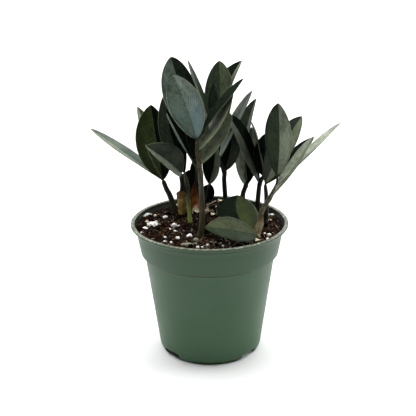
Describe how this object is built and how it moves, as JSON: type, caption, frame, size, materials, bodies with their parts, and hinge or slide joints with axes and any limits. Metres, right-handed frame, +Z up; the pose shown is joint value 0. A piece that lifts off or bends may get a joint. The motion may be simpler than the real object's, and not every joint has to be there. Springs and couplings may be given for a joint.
{
  "type": "potted zanzibar gem",
  "caption": "Young zanzibar gem with near-black glossy leaflets on upright stems, growing in a round green plastic nursery pot of potting mix.",
  "frame": {"origin": "centre of the pot's underside, on the surface it stands on", "axes": "+Z up along the pot's axis, +X to the right as seen from the front, -Y towards the front"},
  "size_m": [0.2417, 0.1524, 0.2871],
  "materials": {
    "pot": "satin moulded plastic, muted grey green",
    "mix": "matt, crumbly peat and bark",
    "dark_leaf": "glossy, near-black green",
    "olive_leaf": "glossy, dark olive green",
    "dry_sheath": "dry, papery, matt",
    "rust_sheath": "dry, matt, rust brown",
    "perlite": "matt, pitted, off white",
    "stone": "matt, worn"
  },
  "bodies": {
    "root": {"pot": "pot", "potting_mix": "mix", "frond_front": "dark_leaf", "frond_left_front": "dark_leaf", "frond_left_middle": "dark_leaf", "frond_left_rear": "olive_leaf", "frond_rear_left": "olive_leaf", "frond_small": "olive_leaf", "frond_young": "dark_leaf", "frond_rear_middle": "dark_leaf", "frond_rear_right": "dark_leaf", "frond_right_rear": "dark_leaf", "frond_right_front": "dark_leaf", "frond_low": "olive_leaf", "papery_sheath": "dry_sheath", "rust_sheath": "rust_sheath", "buff_sheath": "dry_sheath", "perlite_1": "perlite", "perlite_2": "perlite", "perlite_3": "perlite", "perlite_4": "perlite", "perlite_5": "perlite", "perlite_6": "perlite", "perlite_7": "perlite", "perlite_8": "perlite", "perlite_9": "perlite", "perlite_10": "perlite", "stone_1": "stone", "stone_2": "stone", "stone_3": "stone"}
  },
  "joints": []
}
